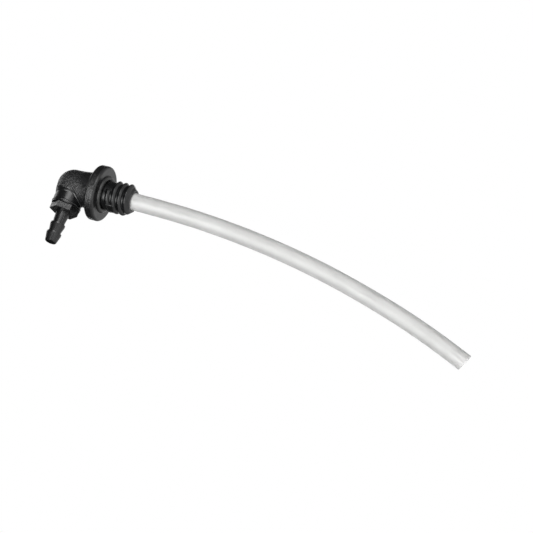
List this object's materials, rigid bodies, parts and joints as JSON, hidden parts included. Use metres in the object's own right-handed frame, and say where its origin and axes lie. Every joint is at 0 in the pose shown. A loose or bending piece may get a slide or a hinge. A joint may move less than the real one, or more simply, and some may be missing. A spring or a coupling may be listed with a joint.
{
  "type": "tank elbow fitting with hose barb and dip tube",
  "caption": "Moulded right-angle tank fitting with a flanged coarse-threaded spigot, a hexagonal hose barb and a long curved dip tube.",
  "frame": {"origin": "centre of the flange's sealing face, where the thread's axis crosses it", "axes": "+Z along the thread's axis, out of the tank towards the dome; the barb points along -X, and the dip tube hangs along -Z and curves towards -X"},
  "size_m": [0.0619, 0.0308, 0.2535],
  "materials": {
    "textured_plastic": "spark-textured moulding",
    "smooth_plastic": "smooth moulding",
    "rubber": "satin",
    "milky_tube": "translucent semi-gloss"
  },
  "bodies": {
    "fitting": {"elbow_body": "textured_plastic", "hose_barb": "smooth_plastic", "tank_ring": "rubber", "port_ring": "rubber", "socket_ring": "rubber"},
    "tube": {"dip_tube": "milky_tube"}
  },
  "joints": [
    {"name": "tube_turn", "type": "hinge", "parent": "fitting", "child": "tube", "pos_m": [0, 0, 0], "axis": [0, 0, 1], "continuous": true}
  ]
}
